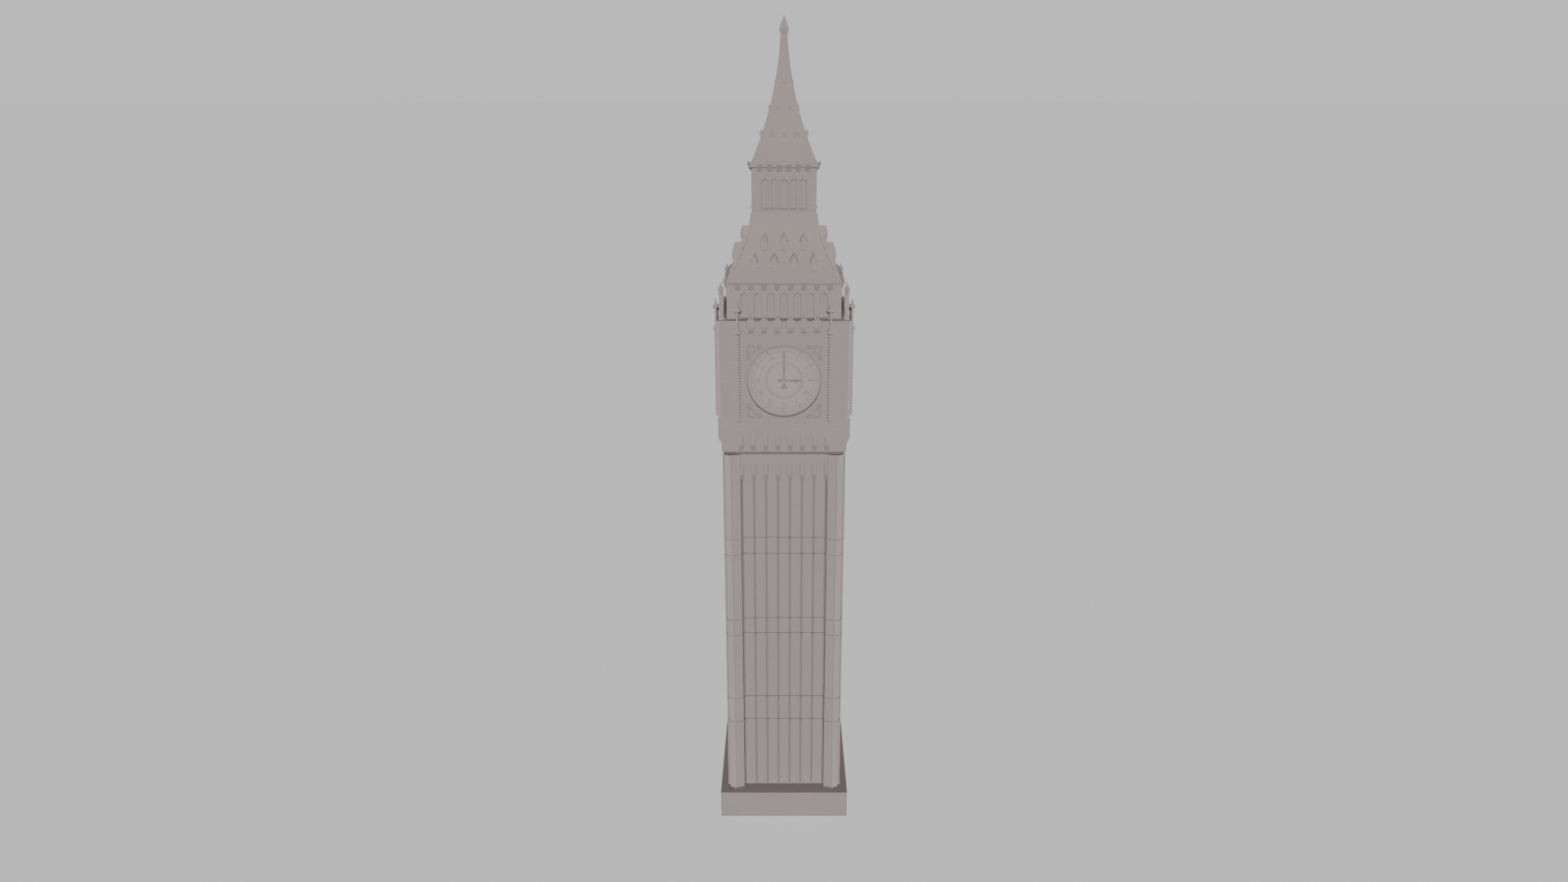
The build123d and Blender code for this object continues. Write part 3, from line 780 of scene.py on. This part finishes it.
bpy.ops.mesh.select_all(action="SELECT")
extrude(0, -surround_rise, 0)
face_outwards()
roundels.append(surround)
place(on_four_sides(joined(roundels)), "spandrel_roundels", "tower", "stone", carved_stone)


# Dials: each is one cast plate with raised rings, minute marks, hour numerals and a ticked inner ring.
# The arbor and its cap stand on the middle of the plate and carry both hands.
dial_plate = finish(
    "dial plate",
    pale=(0.416, 0.352, 0.356),
    dark=(0.395, 0.334, 0.339),
    roughness=0.62,
    cloud_scale=3.0,
    grain_scale=120,
    edge=0.0015,
    reach=0.006,
    corner_shade=0.5,
)
plate_radius, plate_back, plate_front = 0.3575, -0.576, -0.591
plate = upright_disc(plate_radius, 120, plate_back)
edit(plate)
extrude(0, plate_front - plate_back, 0)
inside = plate_radius
for outer, inner, rise in (
    (0.357, 0.349, 0.012),
    (0.333, 0.327, 0.007),
    (0.294, 0.288, 0.007),
    (0.235, 0.231, 0.002),
    (0.186, 0.183, 0.0045),
    (0.164, 0.161, 0.002),
):
    bpy.ops.mesh.inset(thickness=inside - outer)
    extrude(0, -rise, 0)
    bpy.ops.mesh.inset(thickness=outer - inner)
    extrude(0, rise, 0)
    inside = inner
leave_edit()
dial_pieces = [plate]


def about_dial(piece, turn):
    # A copy turned clockwise about the dial's centre, as the hands go
    made = copy_of(piece)
    centre = Matrix.Translation((0, 0, dial_level))
    made.data.transform(centre @ Matrix.Rotation(math.radians(turn), 4, "Y") @ centre.inverted())
    return made


def stand_on_dial(piece, back):
    # Turns a piece that was made lying down to face the viewer, over the dial's centre
    piece.rotation_euler = (math.pi / 2, 0, 0)
    piece.location = (0, back, dial_level)
    return rest(piece)


minute_track, inner_track = 0.3105, 0.173
for count, middle, length, width in (
    (60, minute_track, 0.034, 0.0040),
    (12, minute_track, 0.034, 0.0095),
    (48, inner_track, 0.019, 0.0036),
):
    mark = block((width, 0.009, length), (0, plate_front - 0.0005, dial_level + middle))
    pick(mark, "polygons", lambda face: face.normal.y < -0.5)
    bpy.ops.transform.resize(value=(0.6, 1, 0.92), center_override=(0, plate_front, dial_level + middle))
    leave_edit()
    dial_pieces += [about_dial(mark, 360 * index / count) for index in range(count)]
    bpy.data.objects.remove(mark)

numeral_foot = dial_level + 0.2385
for hour, numeral in enumerate("XII I II III IIII V VI VII VIII IX X XI".split()):
    deselect()
    bpy.ops.object.text_add(location=(0, plate_front + 0.0005, numeral_foot), rotation=(math.pi / 2, 0, 0))
    figure = bpy.context.object
    figure.data.body = numeral
    figure.data.size = 0.06
    figure.data.align_x = "CENTER"
    figure.data.space_character = 0.92
    figure.data.extrude = 0.005
    figure.data.resolution_u = 2
    bpy.ops.object.convert(target="MESH")
    rest(figure)
    dial_pieces.append(about_dial(figure, 30 * hour))
    bpy.data.objects.remove(figure)

arbor = turned(
    [
        (0, -0.001),
        (0.024, -0.001),
        (0.024, 0.003),
        (0.021, 0.005),
        (0.008, 0.005),
        (0.008, 0.0279),
        (0.014, 0.0279),
        (0.014, 0.0300),
        (0.009, 0.0319),
        (0, 0.0319),
    ],
    steps=24,
)
smooth(arbor)
dial_pieces.append(stand_on_dial(arbor, plate_front))
place_on_sides(joined(dial_pieces), "dial_face_{}", "dial_plate", dial_plate, "dial_{}")


# Hands: flat metal blades with leaf-shaped tails, coloured a little darker than the dial as painted shade for
# the dark lines of their shaded edges.
# Each is fixed to its own hub: the hour hand lies behind at three, and the minute hand in front at twelve.
# Painted shade: the hands' metal is darker than the dial so that they read as the shaded lines along their
# edges.
hand_metal = finish(
    "hand metal darkened as painted shade",
    pale=(0.262, 0.222, 0.226),
    dark=(0.238, 0.201, 0.206),
    roughness=0.5,
    cloud_scale=6.0,
    grain_scale=160,
    edge=0.001,
)


def blade(stations):
    # An outline of (distance, half width) drawn out along +X from its first station, then made solid
    deselect()
    bpy.ops.mesh.primitive_plane_add(size=1, location=(0, 0, 0))
    piece = bpy.context.object
    edit(piece)
    bpy.ops.transform.resize(value=(0, 2 * stations[0][1], 1))
    bpy.ops.mesh.remove_doubles(threshold=0.00001)
    bpy.ops.mesh.select_all(action="SELECT")
    bpy.ops.transform.translate(value=(stations[0][0], 0, 0))
    for (near, narrow), (far, wide) in zip(stations, stations[1:]):
        extrude(far - near, 0, 0)
        bpy.ops.transform.resize(value=(1, wide / narrow, 1), center_override=(far, 0, 0))
    bpy.ops.mesh.select_all(action="SELECT")
    extrude(0, 0, blade_thickness)
    face_outwards()
    rounded_edges(piece, 0.0008, 1)
    return piece


blade_thickness, blade_lift = 0.0085, 0.0023
hub_bore, hub_radius, hub_height = 0.0084, 0.020, 0.011
hub_profile = [
    (hub_bore, 0),
    (hub_radius - 0.001, 0),
    (hub_radius, 0.001),
    (hub_radius, hub_height - 0.002),
    (hub_radius - 0.003, hub_height),
    (hub_bore, hub_height),
    (hub_bore, 0),
]
hour_tail = [
    (-0.012, 0.006),
    (-0.022, 0.005),
    (-0.034, 0.012),
    (-0.046, 0.0165),
    (-0.058, 0.013),
    (-0.069, 0.001),
]
hour_leaf = [
    (0.012, 0.0075),
    (0.040, 0.006),
    (0.062, 0.0085),
    (0.080, 0.0065),
    (0.096, 0.009),
    (0.106, 0.0165),
    (0.116, 0.0185),
    (0.124, 0.0130),
    (0.130, 0.0060),
    (0.140, 0.0085),
    (0.152, 0.0075),
    (0.183, 0.0006),
]
minute_tail = [
    (-0.012, 0.0055),
    (-0.032, 0.005),
    (-0.040, 0.012),
    (-0.056, 0.022),
    (-0.064, 0.031),
    (-0.070, 0.024),
    (-0.078, 0.018),
]
minute_leaf = [
    (0.012, 0.0085),
    (0.060, 0.0065),
    (0.120, 0.0085),
    (0.134, 0.0125),
    (0.146, 0.0075),
    (0.240, 0.0060),
    (0.262, 0.0085),
    (0.329, 0.0012),
]
for kind, back, pointing, outlines in (
    ("hour", -0.5963, 0, (hour_tail, hour_leaf)),
    ("minute", -0.6076, 90, (minute_tail, minute_leaf)),
):
    hub = turned(hub_profile, steps=24)
    smooth(hub)
    blades = [blade(outline) for outline in outlines]
    lift = Matrix.Translation((0, 0, blade_lift))
    for piece in blades:
        piece.data.transform(lift @ Matrix.Rotation(math.radians(pointing), 4, "Z"))
    hand = stand_on_dial(joined([hub, *blades]), back)
    place_on_sides(hand, kind + "_hand_{}_blade", "hand_metal", hand_metal, kind + "_hand_{}", moves=True)


# Gablet mouldings: a raking coping and a knob on each gablet, a drip mould at its foot and two short bars.
# They are worked on the parapet's face between the colonnettes.
gablet_front, bar_front = -0.661, -0.655
trims = []
for across, high, deep, bend, level, front in (
    (0.094, 0.007, 0.014, 0.037, clock_top - 0.0005, gablet_front),
    (0.094, 0.007, 0.014, -0.030, clock_top - 0.0565, gablet_front),
    (0.053, 0.006, 0.020, 0.0, clock_top - 0.102, bar_front),
    (0.053, 0.006, 0.020, 0.0, clock_top - 0.117, bar_front),
):
    trim = block((across, deep, high), (0, front, level))
    edit(trim)
    bpy.ops.mesh.bisect(plane_co=(0, 0, level), plane_no=(1, 0, 0))
    leave_edit()
    pick(trim, "vertices", lambda vertex: abs(vertex.co.x) < 0.001)
    bpy.ops.transform.translate(value=(0, 0, bend))
    leave_edit()
    rounded_edges(trim, 0.0012)
    trims.append(trim)
knob = turned(
    [
        (0, 0),
        (0.0035, 0),
        (0.0035, 0.004),
        (0.007, 0.007),
        (0.008, 0.011),
        (0.006, 0.016),
        (0, 0.021),
    ],
    steps=10,
)
knob.location = (0, gablet_front + 0.004, clock_top + 0.036)
rest(knob)
gablets = joined(in_a_row(joined([*trims, knob]), 6, 0.127))
place(on_four_sides(gablets), "gablet_mouldings", "tower", "stone", carved_stone)


# Colonnettes: strings of thirty stone beads against the wall, then two knobs and a slim ringed shaft.
# The beads are turned alike, and cut off where they meet the wall.
bead_pitch, bead_count, bead_radius = 0.02847, 30, 0.0125
bead_swells = ((-0.32, 1.42), (0, 1.68), (0.32, 1.42))
bead_cut = -0.6505
colonnette_foot = chamfer_foot
colonnette_across, colonnette_out = 0.446, -0.664
middle = colonnette_foot + bead_pitch / 2
deselect()
bpy.ops.mesh.primitive_cylinder_add(
    vertices=12,
    radius=bead_radius,
    depth=bead_pitch,
    end_fill_type="NOTHING",
    location=(colonnette_across, colonnette_out, middle),
)
bead = rest(bpy.context.object)
for cut, swell in bead_swells:
    edit(bead)
    bpy.ops.mesh.bisect(plane_co=(0, 0, middle + cut * bead_pitch), plane_no=(0, 0, 1))
    leave_edit()
for cut, swell in bead_swells:
    pick(bead, "vertices", lambda vertex: abs(vertex.co.z - middle - cut * bead_pitch) < 0.0005)
    bpy.ops.transform.resize(
        value=(swell, swell, 1), center_override=(colonnette_across, colonnette_out, middle)
    )
    leave_edit()
edit(bead)
bpy.ops.mesh.bisect(plane_co=(0, bead_cut, 0), plane_no=(0, 1, 0), clear_outer=True)
leave_edit()
smooth(bead, 60)
beads = [copy_of(bead, move=(0, 0, index * bead_pitch)) for index in range(bead_count)]
bpy.data.objects.remove(bead)
lower_knob, upper_knob = clock_top - 0.110, clock_top + 0.105
shaft_profile = [(0, lower_knob - 0.027)]
for knob_level, neck in ((lower_knob, 0.0105), (upper_knob, 0.0095)):
    shaft_profile += [
        (0.012, knob_level - 0.027),
        (0.017, knob_level - 0.022),
        (0.029, knob_level - 0.011),
        (0.033, knob_level),
        (0.029, knob_level + 0.011),
        (0.017, knob_level + 0.022),
        (neck, knob_level + 0.026),
    ]
    if knob_level == lower_knob:
        for ring_level in [knob_level + 0.045 + 0.0215 * step for step in range(6)]:
            shaft_profile += [(neck, ring_level), (0.0145, ring_level + 0.004), (neck, ring_level + 0.008)]
shaft_profile += [
    (0.0085, clock_top + 0.140),
    (0.0125, clock_top + 0.145),
    (0.0125, clock_top + 0.150),
    (0.007, clock_top + 0.154),
    (0.006, clock_top + 0.176),
    (0, clock_top + 0.185),
]
shaft = turned(shaft_profile, steps=14)
smooth(shaft, 35)
shaft.location = (colonnette_across, colonnette_out, 0)
rest(shaft)
foot_profile = [(0, -0.018), (0.006, -0.016), (0.015, -0.004), (0.0155, 0), (0.0115, 0.002), (0, 0.002)]
foot = turned(foot_profile, steps=12)
smooth(foot)
foot.location = (colonnette_across, colonnette_out, colonnette_foot)
rest(foot)
right_one = joined([*beads, shaft, foot])
left_one = copy_of(right_one, move=(-2 * colonnette_across, 0, 0))
pair = joined([right_one, left_one])
place(on_four_sides(pair), "beaded_colonnettes", "tower", "stone", carved_stone, "colonnettes")


# Corner pinnacles: eight-sided stone shafts on moulded bases, each with a collar, a knob and a point.
# Each stands on the belfry's floor at a corner of the clock stage.
pinnacle_place = 0.600
pinnacle = turned(
    [
        (0, clock_top),
        (0.0285, clock_top),
        (0.0285, clock_top + 0.016),
        (0.0245, clock_top + 0.024),
        (0.0245, clock_top + 0.245),
        (0.0285, clock_top + 0.252),
        (0.0285, clock_top + 0.260),
        (0.0175, clock_top + 0.270),
        (0.0200, clock_top + 0.276),
        (0.0310, clock_top + 0.288),
        (0.0350, clock_top + 0.300),
        (0.0310, clock_top + 0.312),
        (0.0180, clock_top + 0.322),
        (0.0100, clock_top + 0.326),
        (0.0080, clock_top + 0.345),
        (0.0030, clock_top + 0.360),
        (0, clock_top + 0.360),
    ],
    steps=8,
)
pinnacle.rotation_euler = (0, 0, math.radians(22.5))
pinnacle.location = (pinnacle_place, -pinnacle_place, 0)
rest(pinnacle)
place(on_four_sides(pinnacle), "moulded_pinnacles", "tower", "stone", carved_stone, "corner_pinnacles")


# Roofs: cast-iron plates on hollow slopes, painted the tower's colour, with gabled dormers and the finial.
# The plates lie in level courses, lapped at fine seams.
roof_iron = finish(
    "painted roof iron",
    pale=(0.366, 0.310, 0.295),
    dark=(0.348, 0.295, 0.282),
    roughness=0.74,
    cloud_scale=2.2,
    grain_scale=110,
    block_length=0.05,
    course=0.04,
    joint=0.0010,
    joint_depth=0.8,
    reach=0.009,
    corner_shade=0.3,
)
dress(roof_iron, "lower_roof", "upper_roof", "lower_dormers", "upper_dormers", "finial")


# Hip rolls: a slim iron roll covers the joint of the plates down each hip of both roofs.
# It follows the hollow of the slopes, and the lower roof's roll is beaded.
def hip_roll(foot, foot_half, middle_up, middle_half, height, top_half, radius, stations, swell=1):
    # The hollow is a part of the circle through the slope's foot, middle and top
    (x1, z1), (x2, z2), (x3, z3) = (foot_half, 0), (middle_half, middle_up), (top_half, height)
    square1, square2, square3 = x1**2 + z1**2, x2**2 + z2**2, x3**2 + z3**2
    spread = 2 * (x1 * (z2 - z3) + x2 * (z3 - z1) + x3 * (z1 - z2))
    centre_out = (square1 * (z2 - z3) + square2 * (z3 - z1) + square3 * (z1 - z2)) / spread
    centre_up = (square1 * (x3 - x2) + square2 * (x1 - x3) + square3 * (x2 - x1)) / spread
    hollow_radius = math.dist((centre_out, centre_up), (x1, z1))
    deselect()
    bpy.ops.mesh.primitive_circle_add(vertices=8, radius=radius, fill_type="NGON", location=(0, 0, 0))
    piece = bpy.context.object
    edit(piece)
    bpy.ops.transform.translate(value=(foot_half, -foot_half, foot))
    half, up = foot_half, 0
    for index in range(1, stations + 1):
        next_up = height * index / stations
        next_half = centre_out - math.sqrt(hollow_radius**2 - (next_up - centre_up) ** 2)
        growth = swell if index % 2 else 1 / swell
        extrude(next_half - half, half - next_half, next_up - up)
        bpy.ops.transform.resize(
            value=(growth, growth, 1), center_override=(next_half, -next_half, foot + next_up)
        )
        half, up = next_half, next_up
    face_outwards()
    smooth(piece, 60)
    return piece


lower_roll = hip_roll(
    foot=5.955,
    foot_half=0.555,
    middle_up=0.363,
    middle_half=0.3745,
    height=0.637,
    top_half=0.311,
    radius=0.0048,
    stations=64,
    swell=1.9,
)
upper_roll = hip_roll(
    foot=7.069,
    foot_half=0.304,
    middle_up=0.526,
    middle_half=0.1217,
    height=1.122,
    top_half=0.0298,
    radius=0.0035,
    stations=20,
)
place(on_four_sides(joined([lower_roll, upper_roll])), "hip_rolls", "tower", "roof_iron", roof_iron)
